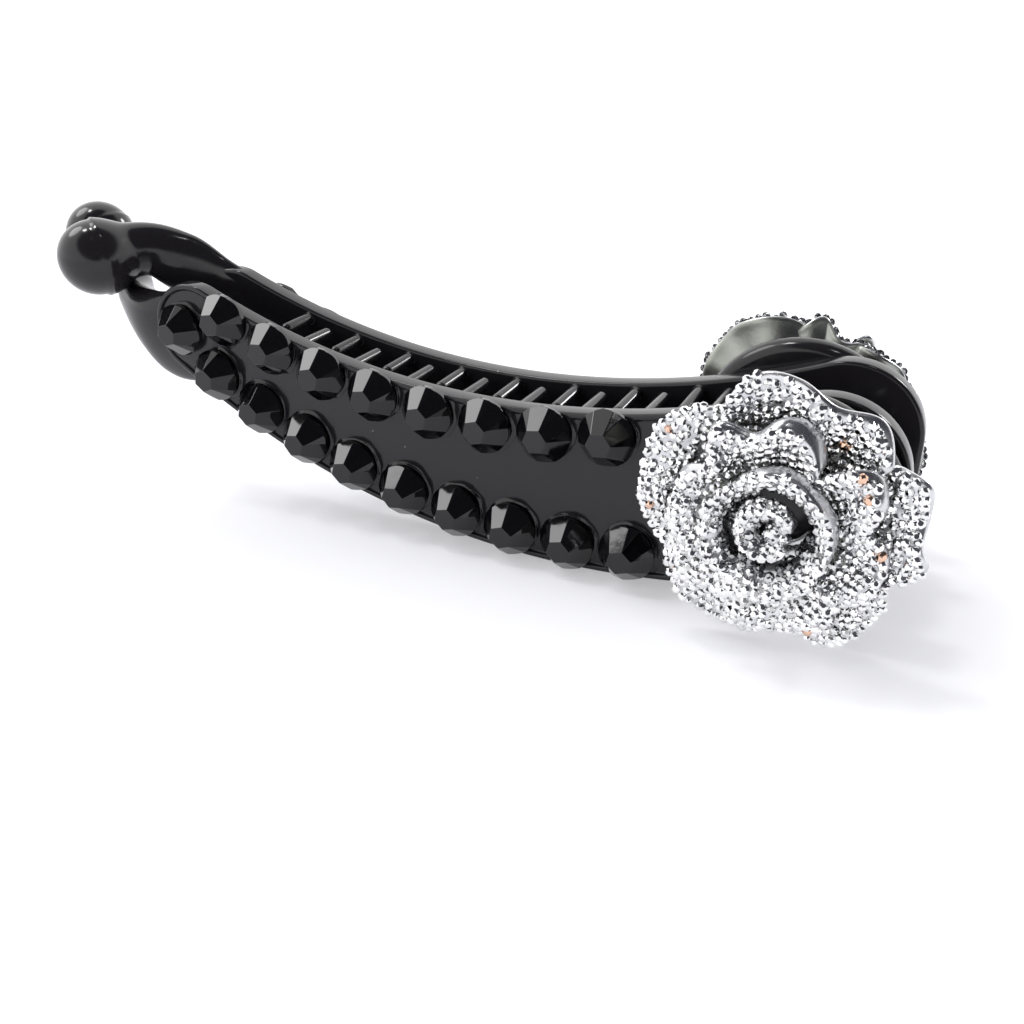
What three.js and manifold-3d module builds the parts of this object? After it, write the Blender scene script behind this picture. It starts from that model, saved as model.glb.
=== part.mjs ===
// A banana hair clip: two curved, toothed arms that lie side by side, hinged at one end and hooked
// together at the other, with rows of faceted stones and a rose on each outer face.
//
// Millimetres. +X runs along the clip from the clasp to the hinge, +Y from the front arm to the rear
// arm, +Z up from the belly to the toothed edge. Each arm is built straight, and its group then turns
// about the hinge pin, so that it leans in towards the other arm at the clasp end.

import * as THREE from "three";
import { mergeVertices } from "three/addons/utils/BufferGeometryUtils.js";
import Module from "manifold-3d";

// Arm outline, seen from the front.
const RIM_RADIUS = 96; // toothed edge, curving up at both ends
const BELLY_RADIUS = 93; // outer edge
const BELLY_LOW = { x: 8.5, z: -17.7 }; // lowest point of the outer edge, below the rim's lowest point
const CLASP_END_RADIUS = 5.6;
const HINGE_END_X = 44;
const HINGE_TOP_RADIUS = 7.7;
const HINGE_BOTTOM_RADIUS = 10;

// Arm section.
const ARM_THICKNESS = 2.3;
const BORDER_WIDTH = 1;
const PANEL_DEPTH = 0.3; // how far the outer face is sunk inside its border

// Hinge.
const PIN_SETBACK = 6.5; // from the arms' hinge end to the pin's axis
const HALF_GAP = 4.3; // from the pin's axis to each arm's inner face
const CLASP_GAP = 6; // between the arms' inner faces, at the middle of their rounded ends
const KNUCKLE_RADIUS = 3.1;
const KNUCKLE_HEIGHTS = [3.5, 5, 3.5]; // rear, front, rear, from the bottom up
const KNUCKLE_DROP = 1.6; // of the knuckles' middle below the arm's
const KNUCKLE_GAP = 0.3;
const PIN_RADIUS = 0.9;
const PIN_CLEARANCE = 0.09;
const PIN_HEAD_RADIUS = 1.8;
const PIN_HEAD_HEIGHT = 0.7;

// Comb teeth.
const TOOTH_COUNT = 16; // of both arms together, which take turns
const CLASP_TO_TEETH = 11.2; // along X, from the middle of the rounded end to the first tooth
const TEETH_TO_PIN = 13.2; // along X
const TOOTH_RADIUS = 0.6;
const TOOTH_DROP = 1.15; // from the rim's edge to the tooth's middle
const TOOTH_TIP_GAP = 1; // from the tip to the other arm
const TOOTH_ROOT = 1; // how far a tooth starts inside its arm

// Clasp: a neck that grows out of each arm's end, crosses the middle and ends in a bulb.
// Each station lies at x and z from the middle of the arm's rounded end. Its across is 1 halfway
// through its own arm's thickness, 0 midway between the arms and -1 at the other arm. The neck there
// is twice tall high and twice wide across.
const NECK_ROOT_WIDE = 0.48 * ARM_THICKNESS; // just inside the arm
const NECK_LEAVING_WIDE = 0.6 * ARM_THICKNESS; // just inside its outer face, where it turns away
const REAR_BULB_RADIUS = 4.6;
const REAR_NECK = [
  { x: 3.1, z: 3, across: 1, tall: 1.6, wide: NECK_ROOT_WIDE },
  { x: -2.4, z: 4.9, across: 0.96, tall: 1.8, wide: NECK_LEAVING_WIDE },
  { x: -6.9, z: 6.7, across: 0.72, tall: 1.9, wide: 1.8 },
  { x: -10.7, z: 7.3, across: 0.2, tall: 2.7, wide: 2.5 },
  { x: -14.5, z: 7.3, across: -1.03, tall: 3.9, wide: 3.9 },
];
const FRONT_BULB_RADIUS = 4.3;
const FRONT_NECK = [
  { x: 4.1, z: -1.8, across: 1, tall: 4.4, wide: NECK_ROOT_WIDE },
  { x: -3.9, z: -2.9, across: 0.92, tall: 4.2, wide: NECK_LEAVING_WIDE },
  { x: -8.7, z: -1, across: 0.7, tall: 3.7, wide: 2.1 },
  { x: -12.9, z: 1.3, across: 0.1, tall: 2.6, wide: 2.3 },
  { x: -16.2, z: 3.1, across: -0.55, tall: 2.4, wide: 2.3 },
  { x: -19.5, z: 5.7, across: -0.74, tall: 2.8, wide: 2.6 },
  { x: -21.8, z: 7.8, across: -0.82, tall: 3.4, wide: 3.4 },
];

// Stones: two rows that start at one stone in the rounded clasp end and stop short of the rose.
const STONE_HEIGHT = 2.9;
const STONE_GAP = 0.1; // glue line under each stone
const BETWEEN_STONES = 0.15; // between the closest two
const TABLE_SHARE = 0.52; // of the stone's radius
const SHOULDER_SHARE = 0.86;
const SHOULDER_HEIGHT = 1.6;
const GIRDLE_HEIGHT = 0.6;
const STONE_SIDES = 8;
const FIRST_STONE_SHIFT = { x: -1.5, z: 0 }; // from the middle of the rounded end
const UPPER_COUNT = 8; // beside the first stone
const LOWER_COUNT = 9;
const ROW_TO_PETALS = 5.6; // from the last stone's middle to the rose's outline
const UPPER_ROW_TIGHTER = 9; // than the rim's radius, so the row nears the rim at its clasp end
const UPPER_ROW_DROPS = { front: 2.5, rear: 3.45 }; // below the rim's lowest point
const LOWER_ROW_INSET = 3.1;

// Roses.
const ROSE_RADIUS = 13.6;
const ROSE_HEIGHT = 8.6;
const ROSE_SETBACKS = { front: 10.7, rear: 12.8 }; // from the arms' hinge end to the rose's middle
const ROSE_CLEARANCE = 0.2; // from the arm's lowest point up to the rose's
const ROSE_PETALS = 5;
const PETAL_WAVE = 0.3; // how far the petals swell the outline, each way
const BASE_RADIUS = 11.2;
const BASE_HEIGHT = 3;
const BASE_EDGE = 1.3; // how far its rolled edge stands out
const GLUE_GAP = 0.1;

const ARC_STEPS = 9; // of each arc of the arm's outline
const ROUND_SIDES = 24; // of the pin, the knuckles and the bore
const ROD_STEPS = 4; // between two stations of a neck
const ROD_SIDES = 16;
const BEYOND = 50; // well past every face, for cutting tools

const BLACK_PLASTIC = { color: 0x171619, roughness: 0.14, metalness: 0 };
const BLACK_STONE = { color: 0x0c0c0e, roughness: 0.05, metalness: 0 };
const SILVER_RESIN = { color: 0xc9c9cc, roughness: 0.2, metalness: 0.9 };
const STEEL = { color: 0xb9bbbf, roughness: 0.3, metalness: 1 };

const wasm = await Module();
wasm.setup();

const HINGE_X = HINGE_END_X - PIN_SETBACK;
const OUTER_FACE = HALF_GAP + ARM_THICKNESS;
const MID_ARM = HALF_GAP + ARM_THICKNESS / 2;

// ---------------------------------------------------------------- solids

function solidOf(geometry) {
  const bare = geometry.clone();
  bare.deleteAttribute("normal");
  bare.deleteAttribute("uv");
  const merged = mergeVertices(bare, 1e-4);
  const mesh = new wasm.Mesh({
    numProp: 3,
    vertProperties: merged.attributes.position.array,
    triVerts: new Uint32Array(merged.index.array),
  });
  return new wasm.Manifold(mesh);
}

function geometryOf(solid) {
  const mesh = solid.getMesh();
  const geometry = new THREE.BufferGeometry();
  geometry.setAttribute("position", new THREE.BufferAttribute(mesh.vertProperties, 3));
  geometry.setIndex(new THREE.BufferAttribute(mesh.triVerts, 1));
  geometry.computeVertexNormals();
  return geometry;
}

function join(geometries) {
  return geometries.map(solidOf).reduce((whole, piece) => whole.add(piece));
}

function meshOf(name, geometry, finish) {
  const mesh = new THREE.Mesh(geometry, new THREE.MeshStandardMaterial(finish));
  mesh.name = name;
  return mesh;
}

// A cylinder whose axis is Z, from z = bottom up.
function uprightCylinder(radius, bottom, height) {
  const geometry = new THREE.CylinderGeometry(radius, radius, height, ROUND_SIDES);
  geometry.rotateX(Math.PI / 2);
  return geometry.translate(HINGE_X, 0, bottom + height / 2);
}

// ---------------------------------------------------------------- arm outline

const rimCentre = new THREE.Vector2(0, RIM_RADIUS);
const bellyCentre = new THREE.Vector2(BELLY_LOW.x, BELLY_LOW.z + BELLY_RADIUS);

// The two crossing points of two circles, the left-hand one first.
function crossings(a, radiusA, b, radiusB) {
  const between = b.clone().sub(a);
  const distance = between.length();
  const along = (radiusA ** 2 - radiusB ** 2 + distance ** 2) / (2 * distance);
  const across = Math.sqrt(radiusA ** 2 - along ** 2);
  const unit = between.divideScalar(distance);
  const foot = a.clone().addScaledVector(unit, along);
  const side = new THREE.Vector2(-unit.y, unit.x);
  const points = [foot.clone().addScaledVector(side, across), foot.addScaledVector(side, -across)];
  return points.sort((p, q) => p.x - q.x);
}

// The z below a big circle's centre, at a given x, on the circle of this radius.
function under(centre, radius, x) {
  return centre.y - Math.sqrt(radius ** 2 - (x - centre.x) ** 2);
}

function cornerCentre(x, bigCentre, radius) {
  return new THREE.Vector2(x, under(bigCentre, radius, x));
}

const claspEnd = crossings(
  rimCentre,
  RIM_RADIUS + CLASP_END_RADIUS,
  bellyCentre,
  BELLY_RADIUS - CLASP_END_RADIUS,
)[0];

// Each arm's turn about the pin, which narrows the gap towards the clasp.
const LEAN = Math.atan((HALF_GAP - CLASP_GAP / 2) / (HINGE_X - claspEnd.x));

const hingeTop = cornerCentre(HINGE_END_X - HINGE_TOP_RADIUS, rimCentre, RIM_RADIUS + HINGE_TOP_RADIUS);
const hingeBottom = cornerCentre(
  HINGE_END_X - HINGE_BOTTOM_RADIUS,
  bellyCentre,
  BELLY_RADIUS - HINGE_BOTTOM_RADIUS,
);

function angleTo(from, to) {
  return Math.atan2(to.y - from.y, to.x - from.x);
}

// The outline, shrunk by inset all round: every arc keeps its centre.
function armOutline(inset) {
  const bellyLeft = angleTo(bellyCentre, claspEnd);
  const bellyRight = angleTo(bellyCentre, hingeBottom);
  const shape = new THREE.Shape();
  shape.absarc(bellyCentre.x, bellyCentre.y, BELLY_RADIUS - inset, bellyLeft, bellyRight, false);
  shape.absarc(hingeBottom.x, hingeBottom.y, HINGE_BOTTOM_RADIUS - inset, bellyRight, 0, false);
  const topEnd = angleTo(hingeTop, rimCentre);
  shape.absarc(hingeTop.x, hingeTop.y, HINGE_TOP_RADIUS - inset, 0, topEnd, false);
  const rimRight = angleTo(rimCentre, hingeTop);
  const rimLeft = angleTo(rimCentre, claspEnd);
  shape.absarc(rimCentre.x, rimCentre.y, RIM_RADIUS + inset, rimRight, rimLeft, true);
  const endStart = angleTo(claspEnd, rimCentre);
  const endStop = bellyLeft + 2 * Math.PI;
  shape.absarc(claspEnd.x, claspEnd.y, CLASP_END_RADIUS - inset, endStart, endStop, false);
  return shape;
}

// A flat plate in the XZ plane, from y = near to y = near + thickness.
function plate(shape, near, thickness) {
  const geometry = new THREE.ExtrudeGeometry(shape, {
    depth: thickness,
    bevelEnabled: false,
    curveSegments: ARC_STEPS,
  });
  geometry.rotateX(Math.PI / 2);
  return geometry.translate(0, near + thickness, 0);
}

// ---------------------------------------------------------------- parts of an arm
// side is -1 for the front arm and +1 for the rear one: outwards is side * Y.

function slab(shape, side, inner, outer) {
  return plate(shape, side > 0 ? inner : -outer, outer - inner);
}

// A rod along a smooth curve through the places. Its section is an ellipse, square to the curve,
// whose wide axis stays level.
function taperedRod(places, halfSizes) {
  const curve = new THREE.CatmullRomCurve3(places);
  const sizes = new THREE.CatmullRomCurve3(halfSizes);
  const steps = ROD_STEPS * (places.length - 1);
  const sides = ROD_SIDES;
  const positions = [];
  for (let i = 0; i <= steps; i++) {
    const centre = curve.getPoint(i / steps);
    const forward = curve.getTangent(i / steps);
    const level = new THREE.Vector3(-forward.y, forward.x, 0).normalize();
    const upward = forward.clone().cross(level);
    const { x: tall, y: wide } = sizes.getPoint(i / steps);
    for (let j = 0; j < sides; j++) {
      const angle = (2 * Math.PI * j) / sides;
      const point = centre
        .clone()
        .addScaledVector(level, wide * Math.cos(angle))
        .addScaledVector(upward, tall * Math.sin(angle));
      positions.push(...point.toArray());
    }
  }
  const faces = [];
  for (let i = 0; i < steps; i++)
    for (let j = 0; j < sides; j++) {
      const a = i * sides + j;
      const b = i * sides + ((j + 1) % sides);
      faces.push(a, b, b + sides, a, b + sides, a + sides);
    }
  const last = steps * sides;
  for (let j = 1; j < sides - 1; j++) {
    faces.push(0, j + 1, j);
    faces.push(last, last + j, last + j + 1);
  }
  const geometry = new THREE.BufferGeometry();
  geometry.setAttribute("position", new THREE.Float32BufferAttribute(positions, 3));
  geometry.setIndex(faces);
  return geometry;
}

function clasp(side, { neck, bulbRadius }) {
  const reach = (CLASP_GAP + ARM_THICKNESS) / 2;
  const places = neck.map(({ x, z, across }) => {
    const y = side * (MID_ARM - reach * (1 - across));
    return new THREE.Vector3(claspEnd.x + x, y, claspEnd.y + z);
  });
  const halfSizes = neck.map(({ tall, wide }) => new THREE.Vector3(tall, wide, 0));
  const tip = places[places.length - 1];
  const bulb = new THREE.SphereGeometry(bulbRadius, 20, 12);
  return [taperedRod(places, halfSizes), bulb.translate(...tip.toArray())];
}

// One arm's teeth: straight pegs from its inner face towards the other arm, every second one along
// the rim.
function teeth(side) {
  const radius = RIM_RADIUS + TOOTH_DROP;
  const first = Math.asin((claspEnd.x + CLASP_TO_TEETH) / radius);
  const last = Math.asin((HINGE_X - TEETH_TO_PIN) / radius);
  const pegs = [];
  for (let i = side > 0 ? 0 : 1; i < TOOTH_COUNT; i += 2) {
    const angle = first + (i * (last - first)) / (TOOTH_COUNT - 1);
    const x = radius * Math.sin(angle);
    const z = RIM_RADIUS - radius * Math.cos(angle);
    const gap = 2 * (HALF_GAP - (HINGE_X - x) * Math.tan(LEAN));
    const length = gap - TOOTH_TIP_GAP;
    const profile = [
      new THREE.Vector2(0, -TOOTH_ROOT),
      new THREE.Vector2(TOOTH_RADIUS, -TOOTH_ROOT),
      new THREE.Vector2(TOOTH_RADIUS, length - TOOTH_RADIUS),
      new THREE.Vector2(TOOTH_RADIUS / 2, length),
      new THREE.Vector2(0, length),
    ];
    const peg = new THREE.LatheGeometry(profile, 8);
    if (side > 0) peg.rotateX(Math.PI);
    pegs.push(peg.translate(x, side * HALF_GAP, z));
  }
  return pegs;
}

// Every knuckle's bottom and height, from the lowest up: the stack's middle is a little below the
// arm's.
function knuckleSpans() {
  const spans = [];
  const rim = under(rimCentre, RIM_RADIUS, HINGE_X);
  const belly = under(bellyCentre, BELLY_RADIUS, HINGE_X);
  const gaps = KNUCKLE_GAP * (KNUCKLE_HEIGHTS.length - 1);
  const tall = KNUCKLE_HEIGHTS.reduce((sum, height) => sum + height, gaps);
  let bottom = (rim + belly - tall) / 2 - KNUCKLE_DROP;
  for (const height of KNUCKLE_HEIGHTS) {
    spans.push({ bottom, height });
    bottom += height + KNUCKLE_GAP;
  }
  return spans;
}

function knuckles(side) {
  const spans = knuckleSpans().filter((span, i) => (side > 0 ? i % 2 === 0 : i % 2 === 1));
  return spans.flatMap(({ bottom, height }) => {
    const web = new THREE.BoxGeometry(2 * KNUCKLE_RADIUS, MID_ARM, height);
    web.translate(HINGE_X, (side * MID_ARM) / 2, bottom + height / 2);
    return [uprightCylinder(KNUCKLE_RADIUS, bottom, height), web];
  });
}

function arm(side, tip) {
  const panel = armOutline(BORDER_WIDTH);
  const body = join([
    slab(armOutline(0), side, HALF_GAP, OUTER_FACE),
    ...teeth(side),
    ...knuckles(side),
    ...clasp(side, tip),
  ]);
  const bore = solidOf(uprightCylinder(PIN_RADIUS + PIN_CLEARANCE, -BEYOND, 2 * BEYOND));
  const sunk = solidOf(slab(panel, side, OUTER_FACE - PANEL_DEPTH, OUTER_FACE + BEYOND));
  return geometryOf(body.subtract(bore).subtract(sunk));
}

// ---------------------------------------------------------------- stones

// A flat-backed stone, base on z = 0: an octagonal table, eight crown facets, and a round girdle.
function stoneGeometry() {
  const table = new THREE.Vector3(stoneRadius * TABLE_SHARE, STONE_HEIGHT, STONE_SIDES);
  const shoulder = new THREE.Vector3(stoneRadius * SHOULDER_SHARE, SHOULDER_HEIGHT, STONE_SIDES);
  const girdle = new THREE.Vector3(stoneRadius, GIRDLE_HEIGHT, 2 * STONE_SIDES);
  const base = new THREE.Vector3(stoneRadius, 0, 2 * STONE_SIDES);
  const points = [];
  for (const { x: radius, y: height, z: count } of [table, shoulder, girdle, base])
    for (let i = 0; i < count; i++) {
      const angle = (2 * Math.PI * i) / count;
      points.push(radius * Math.cos(angle), radius * Math.sin(angle), height);
    }
  const faces = [];
  const n = STONE_SIDES;
  const wide = 2 * n;
  for (let i = 0; i < n; i++) {
    const next = (i + 1) % n;
    const rim = 2 * n + 2 * i;
    const rimNext = 2 * n + ((2 * i + 2) % wide);
    faces.push(i, n + i, n + next, i, n + next, next);
    faces.push(n + i, rim, rim + 1, n + i, rim + 1, n + next, n + next, rim + 1, rimNext);
  }
  for (let i = 0; i < wide; i++) {
    const next = (i + 1) % wide;
    faces.push(2 * n + i, 2 * n + wide + i, 2 * n + wide + next);
    faces.push(2 * n + i, 2 * n + wide + next, 2 * n + next);
  }
  for (let i = 1; i < n - 1; i++) faces.push(0, i, i + 1);
  const last = 2 * n + wide;
  for (let i = 1; i < wide - 1; i++) faces.push(last, last + i + 1, last + i);
  const geometry = new THREE.BufferGeometry();
  geometry.setAttribute("position", new THREE.Float32BufferAttribute(points, 3));
  geometry.setIndex(faces);
  geometry.computeVertexNormals();
  return geometry;
}

// Evenly spaced places on an arc that follows one edge of the arm. The first is one space from the
// stone in the rounded end and the last is a fixed distance from the rose.
function rowPlaces(first, rose, centre, radius, count) {
  const last = crossings(centre, radius, rose, ROSE_RADIUS + ROW_TO_PETALS)[0];
  const end = angleTo(centre, last);
  let start = angleTo(centre, first);
  let space = 0;
  for (let round = 0; round < 12; round++) {
    space = ((end - start) * radius) / (count - 1);
    start = angleTo(centre, crossings(centre, radius, first, space)[1]);
  }
  const places = [];
  for (let i = 0; i < count; i++) {
    const angle = start + (i * space) / radius;
    const x = centre.x + radius * Math.cos(angle);
    places.push(new THREE.Vector2(x, centre.y + radius * Math.sin(angle)));
  }
  return places;
}

// A rose's middle, as X and Z: its petals end just above the arm's lowest point.
function roseMiddle(name) {
  const x = HINGE_END_X - ROSE_SETBACKS[name];
  return new THREE.Vector2(x, BELLY_LOW.z + ROSE_CLEARANCE + ROSE_RADIUS);
}

function stoneRows(name) {
  const rose = roseMiddle(name);
  const first = claspEnd.clone().add(new THREE.Vector2(FIRST_STONE_SHIFT.x, FIRST_STONE_SHIFT.z));
  const upperRadius = RIM_RADIUS - UPPER_ROW_TIGHTER;
  const upperCentre = new THREE.Vector2(0, upperRadius - UPPER_ROW_DROPS[name]);
  const upper = rowPlaces(first, rose, upperCentre, upperRadius, UPPER_COUNT);
  const lowerRadius = BELLY_RADIUS - LOWER_ROW_INSET;
  const lower = rowPlaces(first, rose, bellyCentre, lowerRadius, LOWER_COUNT);
  return { upper: [first, ...upper], lower };
}

function closestSpacing({ upper, lower }) {
  const places = [...upper, ...lower];
  const gaps = places.flatMap((a, i) => places.slice(i + 1).map((b) => a.distanceTo(b)));
  return Math.min(...gaps);
}

const rows = { front: stoneRows("front"), rear: stoneRows("rear") };
const closest = Math.min(closestSpacing(rows.front), closestSpacing(rows.rear));
const stoneRadius = (closest - BETWEEN_STONES) / 2;

function stones(side, name) {
  const found = [];
  for (const [row, places] of Object.entries(rows[name]))
    places.forEach((place, i) => {
      const mesh = meshOf(`${name}_${row}_stone_${i + 1}`, stoneGeometry(), BLACK_STONE);
      mesh.rotation.x = (-side * Math.PI) / 2;
      mesh.position.set(place.x, side * (OUTER_FACE + STONE_GAP), place.y);
      found.push(mesh);
    });
  return found;
}

// ---------------------------------------------------------------- roses

function turned(profile, sides) {
  return new THREE.LatheGeometry(
    profile.map(([radius, height]) => new THREE.Vector2(radius, height)),
    sides,
  );
}

// The black boss that carries the rose: a round cushion with a rolled edge.
function roseBase() {
  const edge = BASE_RADIUS - BASE_EDGE;
  const profile = [
    [0, 0],
    [edge, 0],
    [BASE_RADIUS, BASE_HEIGHT / 3],
    [BASE_RADIUS, (2 * BASE_HEIGHT) / 3],
    [edge, BASE_HEIGHT],
    [0, BASE_HEIGHT],
  ];
  return turned(profile, 32);
}

// The rose as one moulding: a shallow cup whose edge swells into petals, round a raised heart.
function roseBody() {
  const radius = ROSE_RADIUS;
  const height = ROSE_HEIGHT;
  const profile = [
    [0, 0],
    [radius * 0.6, height * 0.02],
    [radius * 0.94, height * 0.2],
    [radius, height * 0.36],
    [radius * 0.93, height * 0.48],
    [radius * 0.62, height * 0.72],
    [radius * 0.34, height * 0.98],
    [radius * 0.14, height],
    [0, height],
  ];
  const geometry = turned(profile, 8 * ROSE_PETALS);
  const places = geometry.attributes.position;
  for (let i = 0; i < places.count; i++) {
    const x = places.getX(i);
    const z = places.getZ(i);
    const share = Math.hypot(x, z) / radius;
    const wave = 1 + (PETAL_WAVE / radius) * share * Math.cos(ROSE_PETALS * Math.atan2(z, x));
    places.setX(i, x * wave);
    places.setZ(i, z * wave);
  }
  return geometry;
}

function rose(side, name) {
  const group = new THREE.Group();
  const base = meshOf(`${name}_rose_base`, roseBase(), BLACK_PLASTIC);
  base.position.y = GLUE_GAP;
  const flower = meshOf(`${name}_rose`, roseBody(), SILVER_RESIN);
  flower.position.y = 2 * GLUE_GAP + BASE_HEIGHT;
  group.add(base, flower);
  group.rotation.x = side > 0 ? 0 : Math.PI;
  const middle = roseMiddle(name);
  group.position.set(middle.x, side * OUTER_FACE, middle.y);
  return group;
}

// ---------------------------------------------------------------- hinge pin

// A straight pin with a head at each end, just clear of the outermost knuckles.
function hingePin() {
  const spans = knuckleSpans();
  const top = spans[spans.length - 1];
  const low = spans[0].bottom - KNUCKLE_GAP;
  const high = top.bottom + top.height + KNUCKLE_GAP;
  const profile = [
    [0, low - PIN_HEAD_HEIGHT],
    [PIN_HEAD_RADIUS, low - PIN_HEAD_HEIGHT],
    [PIN_HEAD_RADIUS, low],
    [PIN_RADIUS, low],
    [PIN_RADIUS, high],
    [PIN_HEAD_RADIUS, high],
    [PIN_HEAD_RADIUS, high + PIN_HEAD_HEIGHT],
    [0, high + PIN_HEAD_HEIGHT],
  ];
  const geometry = turned(profile, ROUND_SIDES);
  geometry.rotateX(Math.PI / 2);
  return geometry.translate(HINGE_X, 0, 0);
}

// ---------------------------------------------------------------- assembly

// An arm with what is glued to it. Its group turns about the pin, so its children are given in the
// clip's coordinates and shifted back by the pin's place.
function armGroup(side, name, tip) {
  const contents = new THREE.Group();
  contents.add(meshOf(`${name}_arm`, arm(side, tip), BLACK_PLASTIC));
  contents.add(...stones(side, name));
  contents.add(rose(side, name));
  contents.position.x = -HINGE_X;
  const group = new THREE.Group();
  group.add(contents);
  group.position.x = HINGE_X;
  group.rotation.z = side * LEAN;
  return group;
}

const clip = new THREE.Group();
clip.add(armGroup(1, "rear", { neck: REAR_NECK, bulbRadius: REAR_BULB_RADIUS }));
clip.add(armGroup(-1, "front", { neck: FRONT_NECK, bulbRadius: FRONT_BULB_RADIUS }));
clip.add(meshOf("hinge_pin", hingePin(), STEEL));

// The origin is under the middle of the whole clip, on the surface that it lies on.
const bounds = new THREE.Box3().setFromObject(clip, true);
const middle = bounds.getCenter(new THREE.Vector3());
clip.position.set(-middle.x, -middle.y, -bounds.min.z);

const hairClip = new THREE.Group();
hairClip.add(clip);

export default hairClip;
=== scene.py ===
# %% [markdown]
# # A banana hair clip in black plastic, black stones and silver roses
#
# Two curved plastic arms lie side by side. A steel pin joins them at one end, and at the other end
# each arm runs out into a neck and a ball, and the two necks cross. Two rows of faceted stones and one
# rose are glued to each outer face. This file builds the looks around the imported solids, which stay
# where they are, so the first step is to load them.

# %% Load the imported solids
import math

import bmesh
import bpy
import numpy as np
from mathutils import Matrix, Vector


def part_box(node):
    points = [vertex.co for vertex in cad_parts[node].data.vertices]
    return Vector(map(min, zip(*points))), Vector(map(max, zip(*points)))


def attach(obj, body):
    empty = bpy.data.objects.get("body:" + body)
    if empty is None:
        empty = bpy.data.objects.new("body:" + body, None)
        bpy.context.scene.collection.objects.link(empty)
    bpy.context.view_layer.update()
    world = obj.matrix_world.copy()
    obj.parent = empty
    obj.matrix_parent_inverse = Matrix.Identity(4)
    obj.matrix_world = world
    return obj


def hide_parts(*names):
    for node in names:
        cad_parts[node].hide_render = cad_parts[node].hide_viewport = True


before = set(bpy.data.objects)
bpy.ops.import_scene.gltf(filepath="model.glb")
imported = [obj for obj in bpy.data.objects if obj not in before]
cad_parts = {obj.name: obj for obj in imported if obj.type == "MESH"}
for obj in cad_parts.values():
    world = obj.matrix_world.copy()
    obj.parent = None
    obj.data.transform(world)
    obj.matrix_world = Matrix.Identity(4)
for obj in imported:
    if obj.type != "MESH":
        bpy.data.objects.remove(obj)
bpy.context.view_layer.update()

MM = 0.001

# %% [markdown]
# Every size below is in millimetres in the clip's own drawing: X runs from the clasp to the hinge, Z up
# from the belly, and Y from the front arm to the rear one, with zero at the pin. The pin's solid says
# where that drawing lies. Each arm also turns about the pin by a small lean, which narrows the gap
# towards the clasp.

# %% The drawing's place, from the hinge pin
PIN_LOW, PIN_HIGH = (np.array(corner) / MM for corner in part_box("hinge_pin"))
PIN_X = 37.5
PIN_TOP = 2.9825
ORIGIN = np.array([(PIN_LOW[0] + PIN_HIGH[0]) / 2 - PIN_X, (PIN_LOW[1] + PIN_HIGH[1]) / 2,
                   PIN_HIGH[2] - PIN_TOP])
HALF_GAP = 4.3
THICKNESS = 2.3
OUTER = HALF_GAP + THICKNESS
CLASP_GAP = 6.0
CLASP_X, CLASP_Z = -40.06, 2.63
LEAN = math.atan((HALF_GAP - CLASP_GAP / 2) / (PIN_X - CLASP_X))
SIDES = {"front": -1, "rear": 1}


def placed(points, side):
    """An arm's own points, in millimetres, turned about the pin by the lean and put in the row frame, in
    metres."""
    c, s = math.cos(side * LEAN), math.sin(side * LEAN)
    x, y = points[..., 0] - PIN_X, points[..., 1]
    turned = np.stack([PIN_X + x * c - y * s, x * s + y * c, points[..., 2]], -1)
    return (turned + ORIGIN) * MM


print("drawing's origin in mm:", ORIGIN.round(2), "lean in degrees:", round(math.degrees(LEAN), 2))

# %% [markdown]
# The camera comes first, because it decides how much detail each piece needs. It is a close view from
# the front, a little to the right and above, so the near rose is large and the clasp is small.

# %% Camera
EYE = np.array([47.934, -101.484, 40.924])
AZIMUTH, ELEVATION, ROLL = math.radians(25.142), math.radians(26.877), math.radians(-0.07)
LENS_MM, SENSOR_MM = 37.112, 36.0
camera = bpy.data.objects.new("camera", bpy.data.cameras.new("camera"))
bpy.context.scene.collection.objects.link(camera)
bpy.context.scene.camera = camera
camera.data.lens = LENS_MM
camera.data.sensor_width = SENSOR_MM
camera.data.clip_start = 0.005
camera.data.clip_end = 50
back = Vector((math.sin(AZIMUTH) * math.cos(ELEVATION), -math.cos(AZIMUTH) * math.cos(ELEVATION),
               math.sin(ELEVATION)))
right = Vector((math.cos(AZIMUTH), math.sin(AZIMUTH), 0))
up = back.cross(right)
right, up = right * math.cos(ROLL) + up * math.sin(ROLL), up * math.cos(ROLL) - right * math.sin(ROLL)
pose = Matrix((right, up, back)).transposed().to_4x4()
pose.translation = Vector((EYE + ORIGIN) * MM)
camera.matrix_world = pose
print("camera at", [round(c, 4) for c in camera.location])

# %% [markdown]
# Most pieces are a grid of points, such as a profile carried along a path. The helpers join such a grid
# into quads, put several grids into one mesh, and make a mesh an object that rides on its arm.

# %% Helpers: a grid of points as a mesh
def grid_faces(rows, columns, wrap=False):
    """The quads of a grid, as rows of four indices: each joins a point to the next in its row and in its
    column. With wrap the last column joins the first."""
    i, j = np.meshgrid(np.arange(rows - 1), np.arange(columns if wrap else columns - 1), indexing="ij")
    k = (j + 1) % columns
    corners = [i * columns + j, i * columns + k, (i + 1) * columns + k, (i + 1) * columns + j]
    return np.stack(corners, -1).reshape(-1, 4)


def stacked(parts):
    """Several (points, faces) pairs as one pair: each pair's indices are moved up by the points before
    it."""
    points, faces, start = [], [], 0
    for some_points, some_faces in parts:
        points.append(some_points.reshape(-1, 3))
        faces.append(some_faces + start)
        start += len(points[-1])
    return np.concatenate(points), np.concatenate(faces)


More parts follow.
